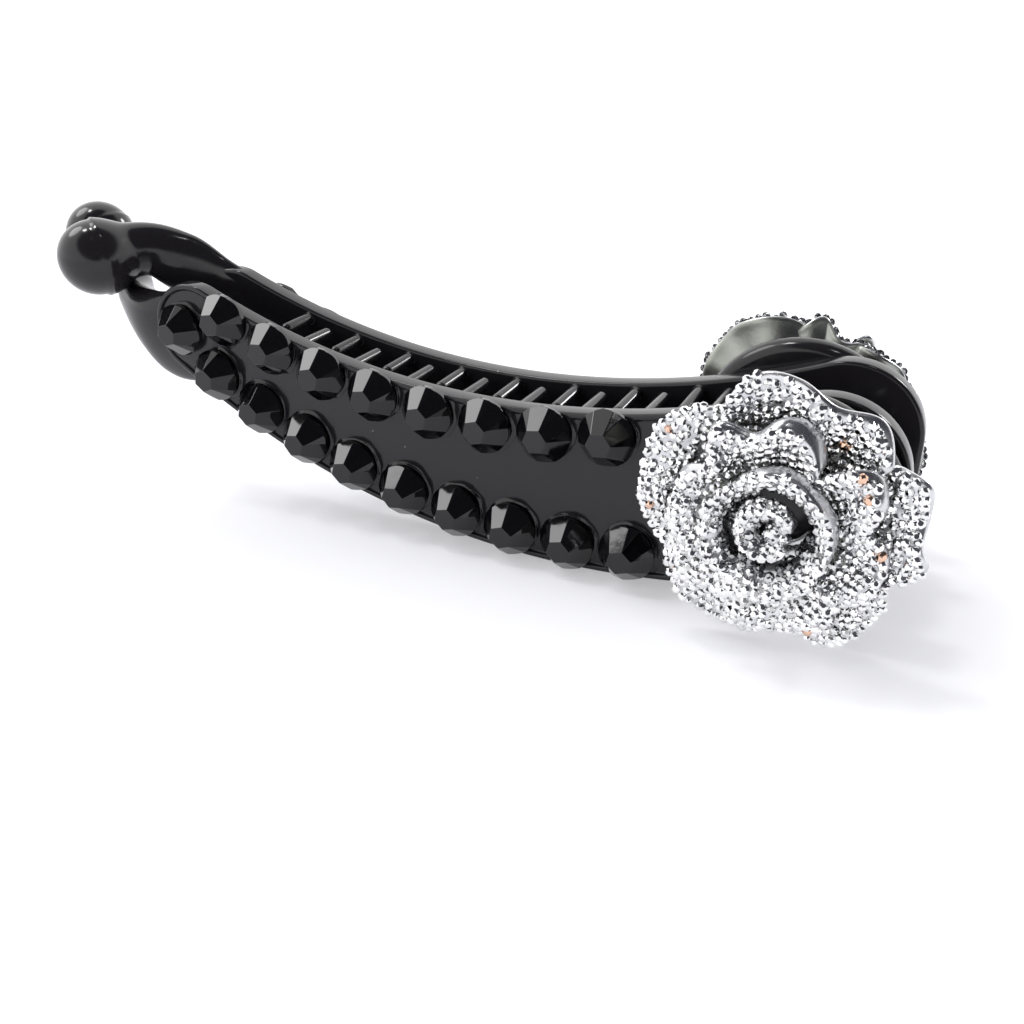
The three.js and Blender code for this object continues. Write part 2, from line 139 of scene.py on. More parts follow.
def piece(name, points, faces, body, materials, smooth=True):
    """A mesh object in the row frame, with doubled points merged and its normals pointing outwards."""
    mesh = bpy.data.meshes.new(name)
    mesh.from_pydata(points.reshape(-1, 3).tolist(), [], [list(f) for f in faces])
    mesh.validate()
    made = bpy.data.objects.new(name, mesh)
    bpy.context.scene.collection.objects.link(made)
    tidy_mesh(mesh)
    mesh.shade_smooth() if smooth else mesh.shade_flat()
    for material in materials:
        mesh.materials.append(material)
    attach(made, body)
    return made


def tidy_mesh(mesh, merge=2e-6):
    """Merges points closer than merge and turns the faces outwards."""
    b = bmesh.new()
    b.from_mesh(mesh)
    bmesh.ops.remove_doubles(b, verts=b.verts, dist=merge)
    bmesh.ops.recalc_face_normals(b, faces=b.faces)
    b.to_mesh(mesh)
    b.free()


# %% [markdown]
# Colours are written as sRGB hex, as a colour picker gives them, but a shader works with linear light.
# One function turns the first into the second, and one adds a node with its settings and its links.

# %% Helpers: colours and shader nodes
def linear(hex_colour):
    """An sRGB hex colour as linear values: each channel is v / 12.92 when dark, and above that (v + 0.055)
    / 1.055 to the power 2.4."""
    v = np.array([int(hex_colour[i:i + 2], 16) / 255 for i in (1, 3, 5)])
    v = np.where(v <= 0.04045, v / 12.92, ((v + 0.055) / 1.055) ** 2.4)
    return (*v.tolist(), 1.0)


def per_metre(size):
    """A pattern's scale, when its marks are that many millimetres apart: how many fit in a metre."""
    return float(round(1 / (size * MM)))


def add(tree, kind, settings=None, links=None):
    """Adds one node. Settings are its properties, or its sockets by name; links join a socket to another
    node's output."""
    made = tree.nodes.new("ShaderNode" + kind)
    for key, value in (settings or {}).items():
        if isinstance(key, str) and hasattr(made, key):
            setattr(made, key, value)
        else:
            made.inputs[key].default_value = value
    for key, (source, output) in (links or {}).items():
        tree.links.new(source.outputs[output], made.inputs[key])
    return made


def new_material(name):
    """A material with an empty tree, and its Principled shader joined to the output."""
    material = bpy.data.materials.new(name)
    material.use_nodes = True
    tree = material.node_tree
    tree.nodes.clear()
    shader = add(tree, "BsdfPrincipled")
    add(tree, "OutputMaterial", links={"Surface": (shader, "BSDF")})
    return material, tree, shader


def join(tree, source, output, target, socket):
    """Joins one node's output to another node's socket, both by name."""
    tree.links.new(source.outputs[output], target.inputs[socket])


# %% [markdown]
# ## Materials
# The arms are ABS, moulded in a polished tool and dyed black through and through. Its gloss is soft at
# the edges, with slow ripples where the plastic flowed, faint scuffs and a few specks of dust.

# %% Black moulded ABS
def moulded_abs():
    """Flow ripples a centimetre apart, scuffs a millimetre apart, and a speck of dust here and there."""
    material, tree, shader = new_material("abs_black_injection_moulded")
    shader.inputs["IOR"].default_value = 1.42
    place = add(tree, "TexCoord")
    flow = add(tree, "TexNoise", {"Scale": per_metre(11.1), "Detail": 2.0, "Roughness": 0.4},
               {"Vector": (place, "Object")})
    scuff = add(tree, "TexNoise", {"Scale": per_metre(1.111), "Detail": 5.0, "Roughness": 0.65},
                {"Vector": (place, "Object")})
    speck = add(tree, "TexVoronoi", {"Scale": per_metre(3.85), "Randomness": 1.0},
                {"Vector": (place, "Object")})
    dust = add(tree, "MapRange", {"From Min": 0.035, "From Max": 0.02, "To Min": 0.0, "To Max": 1.0},
               {"Value": (speck, "Distance")})
    colour = add(tree, "Mix", {"data_type": "RGBA", "A": linear("#222023"), "B": linear("#6a6a70")},
                 {"Factor": (dust, "Result")})
    rough = add(tree, "MapRange", {"From Min": 0.35, "From Max": 0.75, "To Min": 0.1, "To Max": 0.2},
                {"Value": (scuff, "Fac")})
    bump_flow = add(tree, "Bump", {"Strength": 0.12, "Distance": 0.0004}, {"Height": (flow, "Fac")})
    bump = add(tree, "Bump", {"Strength": 0.04, "Distance": 0.00005},
               {"Height": (scuff, "Fac"), "Normal": (bump_flow, "Normal")})
    join(tree, colour, "Result", shader, "Base Color")
    join(tree, rough, "Result", shader, "Roughness")
    join(tree, bump, "Normal", shader, "Normal")
    return material


# %% [markdown]
# The stones are acrylic, pressed in a mould and polished, and dyed jet black. Their facets are nearly
# mirror-smooth, so each one shows a single tone of the room.

# %% Jet acrylic, and the glue around it
def jet_acrylic():
    """Nearly black, with a faint polishing haze that makes some places a little rougher."""
    material, tree, shader = new_material("acrylic_jet_pressed_and_polished")
    shader.inputs["IOR"].default_value = 1.5
    place = add(tree, "TexCoord")
    haze = add(tree, "TexNoise", {"Scale": per_metre(1.429), "Detail": 3.0}, {"Vector": (place, "Object")})
    rough = add(tree, "MapRange", {"From Min": 0.3, "From Max": 0.7, "To Min": 0.03, "To Max": 0.09},
                {"Value": (haze, "Fac")})
    colour = add(tree, "Mix", {"data_type": "RGBA", "A": linear("#070709"), "B": linear("#0e0d10")},
                 {"Factor": (haze, "Fac")})
    bump = add(tree, "Bump", {"Strength": 0.05, "Distance": 0.0001}, {"Height": (haze, "Fac")})
    join(tree, colour, "Result", shader, "Base Color")
    join(tree, rough, "Result", shader, "Roughness")
    join(tree, bump, "Normal", shader, "Normal")
    return material


def clear_glue():
    """Clear glue over black looks black, with a wet gloss."""
    material, tree, shader = new_material("glue_clear_over_black")
    shader.inputs["IOR"].default_value = 1.48
    place = add(tree, "TexCoord")
    lumps = add(tree, "TexNoise", {"Scale": per_metre(1.25), "Detail": 3.0, "Roughness": 0.6},
                {"Vector": (place, "Object")})
    colour = add(tree, "Mix", {"data_type": "RGBA", "A": linear("#08080a"), "B": linear("#1c1c20")},
                 {"Factor": (lumps, "Fac")})
    rough = add(tree, "MapRange", {"To Min": 0.03, "To Max": 0.16}, {"Value": (lumps, "Fac")})
    bump = add(tree, "Bump", {"Strength": 0.35, "Distance": 0.0003}, {"Height": (lumps, "Fac")})
    join(tree, colour, "Result", shader, "Base Color")
    join(tree, rough, "Result", shader, "Roughness")
    join(tree, bump, "Normal", shader, "Normal")
    return material


# %% [markdown]
# The roses are cast resin with a bright vacuum-metallised coat. The coat is silver, a little cloudy in
# places, and dull grey on the back, where it is thin. The chips carry painted shade: they are painted
# darker towards the petals' roots, where the hollows are in shade.

# %% Vacuum-metallised resin
def metallised_resin(name, dark, light, rough_low, rough_high):
    """A thin metal coat, clouded every few millimetres, with the resin's fine grain under it."""
    material, tree, shader = new_material(name)
    shader.inputs["Metallic"].default_value = 1.0
    place = add(tree, "TexCoord")
    cloud = add(tree, "TexNoise", {"Scale": per_metre(2.86), "Detail": 4.0, "Roughness": 0.6},
                {"Vector": (place, "Object")})
    grain = add(tree, "TexNoise", {"Scale": per_metre(0.4), "Detail": 3.0}, {"Vector": (place, "Object")})
    colour = add(tree, "Mix", {"data_type": "RGBA", "A": linear(dark), "B": linear(light)},
                 {"Factor": (cloud, "Fac")})
    rough = add(tree, "MapRange",
                {"From Min": 0.3, "From Max": 0.7, "To Min": rough_low, "To Max": rough_high},
                {"Value": (cloud, "Fac")})
    bump = add(tree, "Bump", {"Strength": 0.25, "Distance": 0.00008}, {"Height": (grain, "Fac")})
    join(tree, colour, "Result", shader, "Base Color")
    join(tree, rough, "Result", shader, "Roughness")
    join(tree, bump, "Normal", shader, "Normal")
    return material


def metallised_chips():
    """The chips' coat: bright silver that differs at random from chip to chip, with painted shade that
    makes the chips near the petals' roots darker, both as the tone of each chip says. A few have a warm
    coat."""
    material, tree, shader = new_material("chips_metallised_silver")
    shader.inputs["Metallic"].default_value = 1.0
    tone = add(tree, "Attribute", {"attribute_name": "tone"})
    warm = add(tree, "Attribute", {"attribute_name": "warm"})
    # Low tone gives dark grey: mostly painted shade near the petals' roots, a little random tone per chip.
    silver = add(tree, "Mix", {"data_type": "RGBA", "A": linear("#5c5d61"), "B": linear("#fefefe")},
                 {"Factor": (tone, "Fac")})
    colour = add(tree, "Mix", {"data_type": "RGBA", "B": linear("#e2bda6")}, {"Factor": (warm, "Fac")})
    join(tree, silver, "Result", colour, "A")
    place = add(tree, "TexCoord")
    haze = add(tree, "TexNoise", {"Scale": per_metre(2 / 3), "Detail": 2.0}, {"Vector": (place, "Object")})
    rough = add(tree, "MapRange", {"To Min": 0.02, "To Max": 0.09}, {"Value": (haze, "Fac")})
    join(tree, colour, "Result", shader, "Base Color")
    join(tree, rough, "Result", shader, "Roughness")
    return material


def drawn_steel():
    """Bright drawn wire: fine lines along the pin."""
    material, tree, shader = new_material("steel_drawn_wire")
    shader.inputs["Metallic"].default_value = 1.0
    place = add(tree, "TexCoord")
    turned = add(tree, "Mapping", {"Scale": (per_metre(1 / 6), per_metre(1 / 6), per_metre(50 / 3))},
                 {"Vector": (place, "Object")})
    lines = add(tree, "TexNoise", {"Scale": 1.0, "Detail": 2.0}, {"Vector": (turned, "Vector")})
    colour = add(tree, "Mix", {"data_type": "RGBA", "A": linear("#8b8d90"), "B": linear("#b9bbbe")},
                 {"Factor": (lines, "Fac")})
    rough = add(tree, "MapRange", {"To Min": 0.22, "To Max": 0.38}, {"Value": (lines, "Fac")})
    join(tree, colour, "Result", shader, "Base Color")
    join(tree, rough, "Result", shader, "Roughness")
    return material


ABS = moulded_abs()
JET = jet_acrylic()
GLUE = clear_glue()
SILVER = metallised_resin("resin_metallised_silver", "#b4b5b8", "#e6e6e8", 0.2, 0.34)
SILVER_BACK = metallised_resin("resin_metallised_back", "#8e908a", "#adafa8", 0.3, 0.45)
CHIPS = metallised_chips()
STEEL = drawn_steel()
print("materials:", [m.name for m in bpy.data.materials])

# %% [markdown]
# ## The arms
# Each arm is a flat plate with a curved outline: a long concave rim, a longer convex belly, a round
# clasp end and two rounded hinge corners. Its outer face is sunk a little inside a narrow border, and
# every edge is rounded, because sharp edges don't leave a mould. The outline is a chain of arcs that
# meet without a corner, so one closed line with its outward normals is enough: any profile can then
# be carried along it.

# %% The arm's outline
RIM_R, RIM_C = 96.0, np.array([0.0, 96.0])
BELLY_R, BELLY_C = 93.0, np.array([8.5, 75.3])
END_R, END_C = 5.6, np.array([CLASP_X, CLASP_Z])
TOP_R, BOTTOM_R, HINGE_END = 7.7, 10.0, 44.0
TOP_C = np.array([HINGE_END - TOP_R, RIM_C[1] - math.sqrt((RIM_R + TOP_R) ** 2 - (HINGE_END - TOP_R) ** 2)])
LOW_X = HINGE_END - BOTTOM_R
BOTTOM_C = np.array([LOW_X, BELLY_C[1] - math.sqrt((BELLY_R - BOTTOM_R) ** 2 - (LOW_X - BELLY_C[0]) ** 2)])
LONG_STEPS, CORNER_STEPS, END_STEPS = 120, 24, 48


def angle_to(a, b):
    """The direction from a to b, as an angle."""
    return math.atan2(b[1] - a[1], b[0] - a[0])


def arc(centre, radius, start, stop, count, hollow=False):
    """Points centre + radius * (cos, sin) at even steps, and their outward normals, which point to the
    centre on a hollow arc."""
    t = np.linspace(start, stop, count)
    ray = np.stack([np.cos(t), np.sin(t)], -1)
    return centre + radius * ray, -ray if hollow else ray


def outline():
    """The arm's outline as one closed chain of arcs, with outward normals and, for each point, the point of
    the middle line that faces it. The rim and the belly have as many points each, and a pair's middle is
    their mean."""
    rim, rim_n = arc(RIM_C, RIM_R, angle_to(RIM_C, END_C), angle_to(RIM_C, TOP_C), LONG_STEPS, hollow=True)
    top, top_n = arc(TOP_C, TOP_R, angle_to(TOP_C, RIM_C), 0, CORNER_STEPS)
    low, low_n = arc(BOTTOM_C, BOTTOM_R, 0, angle_to(BELLY_C, BOTTOM_C), CORNER_STEPS)
    belly, belly_n = arc(BELLY_C, BELLY_R, angle_to(BELLY_C, BOTTOM_C), angle_to(BELLY_C, END_C),
                         LONG_STEPS)
    end, end_n = arc(END_C, END_R, angle_to(BELLY_C, END_C) + 2 * math.pi, angle_to(END_C, RIM_C),
                     END_STEPS)
    middle = (rim + belly[::-1]) / 2
    points = np.concatenate([rim, top[1:], low, belly[1:], end[1:-1]])
    normals = np.concatenate([rim_n, top_n[1:], low_n, belly_n[1:], end_n[1:-1]])
    at_hinge = np.repeat(middle[-1:], 2 * CORNER_STEPS - 1, 0)
    at_clasp = np.repeat(middle[:1], END_STEPS - 2, 0)
    facing = np.concatenate([middle, at_hinge, middle[::-1][1:], at_clasp])
    return points, normals, facing


LINE, NORMALS, FACING = outline()
print("outline points:", len(LINE), "length in mm:",
      round(float(np.linalg.norm(np.diff(LINE, axis=0, append=LINE[:1]), axis=1).sum()), 1))

# %% [markdown]
# The profile starts at the middle line of the inner face. It runs out to the rounded inner edge, over
# the plate's thickness and the outer edge to the border, down a soft step, and back to the middle line
# on the sunk face. A bevelled extrusion would round every edge alike, but here each has its own radius.

# %% The plate: a profile carried round the outline
EDGE = 0.38
OUTER_EDGE = 0.28
BORDER = 0.85
SUNK = 0.3
SLOPE = 0.35
MIDDLE_SHARES = (0.1, 0.25, 0.5, 0.75, 1)


def quarter(count=6):
    """Sine and one minus cosine of a quarter turn, for a rounded edge."""
    t = np.linspace(0, math.pi / 2, count)
    return np.sin(t), 1 - np.cos(t)


def plate(side):
    """A grid of profile steps by outline points. A step is an inset from the outline and a depth along Y,
    both in mm, and a share of the way to the middle line, which closes the faces."""
    s, c = quarter()
    inner = [(EDGE * (1 - a), HALF_GAP + EDGE * b, 0) for a, b in zip(s, c)]
    outer = [(OUTER_EDGE * b, OUTER - OUTER_EDGE * (1 - a), 0) for a, b in zip(s, c)]
    step = np.linspace(0, 1, 7)
    slope = [(BORDER - SLOPE + SLOPE * t, OUTER - SUNK * (3 * t * t - 2 * t ** 3), 0) for t in step]
    faces_in = [(EDGE + 0.1, HALF_GAP, share) for share in MIDDLE_SHARES[::-1]]
    faces_out = [(BORDER + 0.05, OUTER - SUNK, share) for share in (0, *MIDDLE_SHARES)]
    steps = [*faces_in, (EDGE + 0.1, HALF_GAP, 0), *inner, *outer, *slope, *faces_out]
    inset, depth, share = np.array(steps).T[:, :, None]
    flat = LINE - inset[..., None] * NORMALS
    flat = flat + (FACING - flat) * share[..., None]
    points = np.stack([flat[..., 0], np.broadcast_to(side * depth, flat.shape[:2]), flat[..., 1]], -1)
    return points, grid_faces(len(steps), len(LINE), wrap=True)


# %% [markdown]
# A clasp neck is a rod whose section changes from a thin upright oval, hidden in the plate, to a
# circle, and ends in a ball. One surface does it all: rings along a smooth path, whose size is the
# larger of the neck's and the ball's, blended so that the ball flows out of the neck as in a moulding.

# %% Smooth curves, necks and balls
def smooth_curve(stations, count):
    """A Catmull-Rom curve: a cubic between each two stations whose slope at a station is half the step
    between its neighbours. Returns count points at even steps."""
    p = np.concatenate([2 * stations[:1] - stations[1:2], stations, 2 * stations[-1:] - stations[-2:-1]])
    t = np.linspace(0, len(stations) - 1, count)
    i = np.minimum(t.astype(int), len(stations) - 2)
    f = (t - i)[:, None]
    a, b, c, d = p[i], p[i + 1], p[i + 2], p[i + 3]
    curve = 2 * b + (c - a) * f + (2 * a - 5 * b + 4 * c - d) * f ** 2 + (3 * b - a - 3 * c + d) * f ** 3
    return 0.5 * curve


# A ball's radius, and for each station its x and z from the clasp end's centre, how far across the
# gap it is (1 is its own plate, 0 the middle of the gap), its half height and its half width.
NECKS = {
    "rear": (4.6, [(3.1, 3, 1, 1.6, 1.1), (-2.4, 3.7, 0.96, 3.2, 1.38),
                   (-6.9, 5.6, 0.72, 3.9, 2.0), (-10.7, 7.6, 0.2, 3.3, 2.7),
                   (-14.5, 7.3, -1.03, 3.9, 3.9)]),
    "front": (4.3, [(4.1, -1.8, 1, 4.4, 1.1), (-3.9, -1.6, 0.92, 5.6, 1.38),
                    (-8.7, -0.4, 0.7, 4.3, 2.1), (-12.9, 1.3, 0.1, 2.6, 2.3),
                    (-16.2, 3.1, -0.55, 2.4, 2.3), (-19.5, 5.7, -0.74, 2.8, 2.6),
                    (-21.8, 7.8, -0.82, 3.4, 3.4)]),
}
NECK_STEPS, BALL_STEPS, NECK_SIDES = 70, 15, 40
BALL_BLEND = 6.0


def neck(name):
    """Rings along the neck's path, each point at centre + level * wide * cos + upward * tall * sin. Past
    the ball's centre the path goes straight on and the ring shrinks as a circle's edge does."""
    side = SIDES[name]
    ball, stations = NECKS[name]
    x, z, across, tall, wide = np.array(stations).T
    reach = (CLASP_GAP + THICKNESS) / 2
    y = side * (HALF_GAP + THICKNESS / 2 - reach * (1 - across))
    path = smooth_curve(np.stack([CLASP_X + x, y, CLASP_Z + z, tall, wide], -1), NECK_STEPS)
    centre, size = path[:, :3], path[:, 3:]
    forward = np.gradient(centre, axis=0)
    forward /= np.linalg.norm(forward, axis=1)[:, None]
    beyond = ball * np.sin(np.linspace(0, math.pi / 2, BALL_STEPS + 1)[1:])
    centre = np.concatenate([centre, centre[-1] + beyond[:, None] * forward[-1]])
    forward = np.concatenate([forward, np.repeat(forward[-1:], BALL_STEPS, 0)])
    size = np.concatenate([size, np.zeros((BALL_STEPS, 2))])
    gone = np.linalg.norm(np.diff(centre, axis=0), axis=1)
    along = np.concatenate([[0], np.cumsum(gone)])
    from_ball = along - along[NECK_STEPS - 1]
    sphere = np.sqrt(np.clip(ball ** 2 - from_ball ** 2, 0, None))[:, None]
    size = (np.clip(size, 0, None) ** BALL_BLEND + sphere ** BALL_BLEND) ** (1 / BALL_BLEND)
    size = np.minimum(size, np.maximum(sphere, size * (from_ball < 0)[:, None]))
    level = np.stack([-forward[:, 1], forward[:, 0], 0 * forward[:, 0]], -1)
    level /= np.linalg.norm(level, axis=1)[:, None]
    upward = np.cross(forward, level)
    t = np.linspace(0, 2 * math.pi, NECK_SIDES, endpoint=False)
    ring = level[:, None] * (size[:, 1:, None] * np.cos(t)[None, :, None])
    ring = ring + upward[:, None] * (size[:, :1, None] * np.sin(t)[None, :, None])
    points = centre[:, None] + ring
    points[0] = centre[0]
    return points, grid_faces(len(points), NECK_SIDES, wrap=True)


# %% [markdown]
# The teeth are straight pegs with rounded tips that reach from each arm almost to the other, every
# second one from the front. The knuckles are short barrels round the pin, joined to their arm by a web.

# %% Teeth and knuckles
TEETH = 16
TOOTH_R = 0.72
TOOTH_DROP = 1.15
TOOTH_TIP_GAP = 1.0
TOOTH_SIDES = 20
ROOT_FLARE, ROOT_DEPTH, ROOT_REACH = 0.35, 0.3, 0.4
TOOTH_FROM_CLASP, TOOTH_FROM_PIN = 11.2, 13.2
KNUCKLE_R, BORE_R = 3.1, 0.99
KNUCKLE_SIDES, CHAMFER, CHAMFER_SHARE, INTO_PLATE = 72, 0.15, 0.95, 1.0
KNUCKLES = [(-10.62, 3.5), (-6.82, 5.0), (-1.52, 3.5)]  # each one's bottom and height


def teeth(side):
    """Each peg is a profile of length and radius turned about Y: a small flare at the root, a straight
    shaft and a round tip."""
    radius = RIM_R + TOOTH_DROP
    first = math.asin((CLASP_X + TOOTH_FROM_CLASP) / radius)
    last = math.asin((PIN_X - TOOTH_FROM_PIN) / radius)
    angle = first + np.arange(0 if side > 0 else 1, TEETH, 2) * (last - first) / (TEETH - 1)
    x, z = radius * np.sin(angle), RIM_R - radius * np.cos(angle)
    length = 2 * (HALF_GAP - (PIN_X - x) * math.tan(LEAN)) - TOOTH_TIP_GAP
    s = quarter(7)[0]
    flare = np.linspace(1, 0, 5)
    share = np.concatenate([(ROOT_DEPTH + ROOT_REACH) * (1 - flare) - ROOT_DEPTH, 0 * s])
    reach = np.concatenate([0 * flare, TOOTH_R * (s - 1)])
    full = np.concatenate([0 * flare, 1 + 0 * s])
    size = np.concatenate([TOOTH_R + ROOT_FLARE * flare ** 2, TOOTH_R * np.sqrt(np.clip(1 - s ** 2, 0, 1))])
    along = share[None] * (1 - full) + full * (length[:, None] + reach[None])
    t = np.linspace(0, 2 * math.pi, TOOTH_SIDES, endpoint=False)
    px = x[:, None, None] + size[None, :, None] * np.cos(t)
    pz = z[:, None, None] + size[None, :, None] * np.sin(t)
    py = side * (HALF_GAP - along)[:, :, None] + 0 * px
    pegs = np.stack([px, py, pz], -1)
    return [(points, grid_faces(len(size), TOOTH_SIDES, wrap=True)) for points in pegs]


def knuckle(side, bottom, height):
    """A loop round the pin, at even angles: a circle on the far side, and towards the arm the nearer of its
    two straight sides and its end inside the plate. It is carried up from the bottom to the top with small
    chamfers, and back down as the bore, whose flats stay clear of the pin."""
    turn = np.linspace(0, 2 * math.pi, KNUCKLE_SIDES, endpoint=False)
    ray = np.stack([np.cos(turn), np.sin(turn)], -1)
    to_side = KNUCKLE_R / np.maximum(np.abs(ray[:, 0]), 1e-6)
    to_end = (HALF_GAP + INTO_PLATE) / np.maximum(side * ray[:, 1], 1e-6)
    reach = np.where(side * ray[:, 1] > 0, np.minimum(to_side, to_end), KNUCKLE_R)
    loop = ray * reach[:, None]
    bore = ray * BORE_R
    small = loop * CHAMFER_SHARE
    rows = [(bore, 0), (small, 0), (loop, CHAMFER), (loop, height - CHAMFER), (small, height),
            (bore, height), (bore, 0)]
    raised = [np.concatenate([xy + [PIN_X, 0], np.full((len(xy), 1), bottom + z)], 1) for xy, z in rows]
    return np.stack(raised), grid_faces(len(rows), len(loop), wrap=True)


# %% [markdown]
# An arm leaves its mould in one piece, so its plate, neck, teeth and barrels go into one mesh. They reach
# into each other inside the plastic. A boolean join could remove the hidden faces, but it would leave
# ragged triangles where the rounded surfaces meet, and these would show in the gloss.

# %% Build the two arms
for name, side in SIDES.items():
    barrels = [knuckle(side, *span) for i, span in enumerate(KNUCKLES) if (i % 2 == 0) == (side > 0)]
    points, faces = stacked([plate(side), neck(name), *teeth(side), *barrels])
    arm = piece(f"{name}_arm_moulding", placed(points, side), faces, name, [ABS])
    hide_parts(f"{name}_arm")
    print(arm.name, "faces:", len(arm.data.polygons))

# %% [markdown]
# ## The stones
# A flat-backed stone has a six-sided table, six broad facets that slope from the table's edges to the
# girdle, and six narrow wedges between them whose tips are the table's corners. Every facet is a
# plane, so the top of the round girdle rises and falls in scallops. A small bevel takes the razor
# edge off, and it is what catches the light.

# %% One stone's points and faces
STONE_SIDES = 6
GIRDLE_STEPS = 6
TABLE_SHARE, GIRDLE_SHARE, BACK_SHARE = 0.44, 0.16, 0.97
BROAD_HALF, WEDGE_HALF = 20, 10


def stone(radius, height, spin):
    """Table corners at height; girdle points at the height where the sloping planes meet the cylinder; the
    same points at the base. The broad facets hold 40 degrees each and the wedges 20."""
    table = TABLE_SHARE * radius
    apothem = table * math.cos(math.pi / STONE_SIDES)
    low = GIRDLE_SHARE * height
    slope = (height - low) / (radius - apothem)
    centres = spin + np.arange(STONE_SIDES) * math.pi / 3
    corners = centres + math.pi / 6
    top = np.stack([table * np.cos(corners), table * np.sin(corners), np.full(STONE_SIDES, height)], -1)
    broad = np.radians(np.linspace(-BROAD_HALF, BROAD_HALF, GIRDLE_STEPS + 1))
    wedge = np.radians([BROAD_HALF + WEDGE_HALF])
    offset = np.concatenate([broad, wedge])
    drop = slope * (radius * np.cos(offset[:-1]) - apothem)
    edge_height = height - drop[-1]
    wedge_reach = radius * math.cos(math.radians(WEDGE_HALF)) - table
    wedge_height = height - (height - edge_height) * (radius - table) / wedge_reach
    rim = np.concatenate([height - drop, [wedge_height]])
    angle = (centres[:, None] + offset[None]).ravel()
    girdle = np.stack([radius * np.cos(angle), radius * np.sin(angle), np.tile(rim, STONE_SIDES)], -1)
    base = girdle * [BACK_SHARE, BACK_SHARE, 0]
    n, per = STONE_SIDES, len(offset)
    g, b, total = n, n + n * per, n * per
    faces = [list(range(n))]
    for i in range(n):
        first = g + i * per
        faces.append([(i - 1) % n, *range(first, first + GIRDLE_STEPS + 1), i])
        faces.append([i, first + GIRDLE_STEPS, first + GIRDLE_STEPS + 1, g + ((i + 1) % n) * per])
    faces += [[g + k, b + k, b + (k + 1) % total, g + (k + 1) % total] for k in range(total)]
    faces.append([b + k for k in range(total)][::-1])
    return np.concatenate([top, girdle, base]), faces


# %% [markdown]
# Stones are set by hand, so no two point exactly the same way. Each one takes its middle and its width
# from its solid, and then a small turn and tilt from a generator with a fixed seed. The hidden row of
# the rear arm is set a little lower, so that hardly any of it stands over the rim.

# %% Set the stones where the solids are
rng = np.random.default_rng(7)
STONE_H = 2.9
UP_LEFT = math.radians(105)
HIDDEN_DROP = 0.6
STONES_IN_A_ROW = 9
SPIN_DEGREES, TILT_DEGREES = 9, 2.5
STONE_LIFT, FACET_BEVEL, BEVEL_FROM_DEGREES = 0.05, 0.045, 12


def on_face(points, side, x, z, base):
    """Points drawn with Z as height, turned to stand on an arm's outer face: their X stays level, and their
    height goes outwards."""
    a, b, h = points[..., 0], points[..., 1], points[..., 2]
    return np.stack([x - side * a, side * (base + h), z + b], -1)


def arm_place(node, side):
    """A solid's middle and half width in its own arm's drawing, in mm: the row frame's box, moved to the
    pin and turned back by the lean."""
    low, high = (np.array(corner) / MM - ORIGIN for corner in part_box(node))
    middle = (low + high) / 2
    c, s = math.cos(side * LEAN), math.sin(side * LEAN)
    x, y = middle[0] - PIN_X, middle[1]
    return PIN_X + x * c + y * s, middle[2], (high[2] - low[2]) / 2


glue_parts = {name: [] for name in SIDES}
for name, side in SIDES.items():
    for row in ("upper", "lower"):
        for i in range(1, STONES_IN_A_ROW + 1):
            node = f"{name}_{row}_stone_{i}"
            x, z, radius = arm_place(node, side)
            if name == "rear" and row == "upper":
                z -= HIDDEN_DROP
            spin = UP_LEFT + math.radians(rng.uniform(-SPIN_DEGREES, SPIN_DEGREES))
            points, faces = stone(radius, STONE_H, spin)
            tilt = np.radians(rng.uniform(-TILT_DEGREES, TILT_DEGREES, 2))
            points[:, 2] += (points[:, 0] * tilt[0] + points[:, 1] * tilt[1]) * (points[:, 2] > 0)
            made = piece(f"{node}_cut", placed(on_face(points, side, x, z, OUTER + STONE_LIFT), side),
                         faces, name, [JET], smooth=False)
            bevel = made.modifiers.new("edges", "BEVEL")
            bevel.width = FACET_BEVEL * MM
            bevel.segments = 2
            bevel.limit_method = "ANGLE"
            bevel.angle_limit = math.radians(BEVEL_FROM_DEGREES)
            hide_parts(node)
            glue_parts[name].append((x, z, radius))
print("stones:", sum(len(v) for v in glue_parts.values()))

# %% [markdown]
# Clear glue squeezes out round each stone and dries as a low, uneven skirt. It is a ring whose height
# falls away from the stone and whose outer edge wanders, which is a few waves of different lengths.

# %% Glue skirts
SKIRT_SIDES = 48
UNDER_STONE = 0.08
SKIRT_WAYS = (-0.4, 0.0, 0.2, 0.4, 0.6, 0.8, 0.95, 1.0)
SKIRT_WAVES = (1, 2, 3, 5, 9)
PLATE_MARGIN = 0.35
NO_LIMIT = 999


def skirt(radius, seed):
    """Radius and height over two parameters, the angle and the way out: height falls as (1 - v) to the
    power 1.6, and the outer edge is the stone's plus a sum of waves."""
    waves = np.random.default_rng(seed)
    t = np.linspace(0, 2 * math.pi, SKIRT_SIDES, endpoint=False)
    ripples = [waves.uniform(0.03, 0.12) * np.cos(k * t + waves.uniform(0, 6.28)) for k in SKIRT_WAVES]
    edge = 0.2 + sum(ripples)
    edge = np.clip(edge, 0.05, 0.9)
    tall = 0.15 + 0.07 * np.cos(2 * t + waves.uniform(0, 6.28))
    v = np.array(SKIRT_WAYS)[:, None]
    r = radius - UNDER_STONE + (edge + UNDER_STONE) * v
    h = np.where(v < 0, tall, tall * (1 - np.clip(v, 0, 1)) ** 1.6) - 0.02 * (v > 0.99)
    r = np.concatenate([r, r[:1]])
    h = np.concatenate([np.broadcast_to(h, r[:-1].shape), 0 * r[:1] - 0.02])
    return np.stack([r * np.cos(t), r * np.sin(t), h], -1)


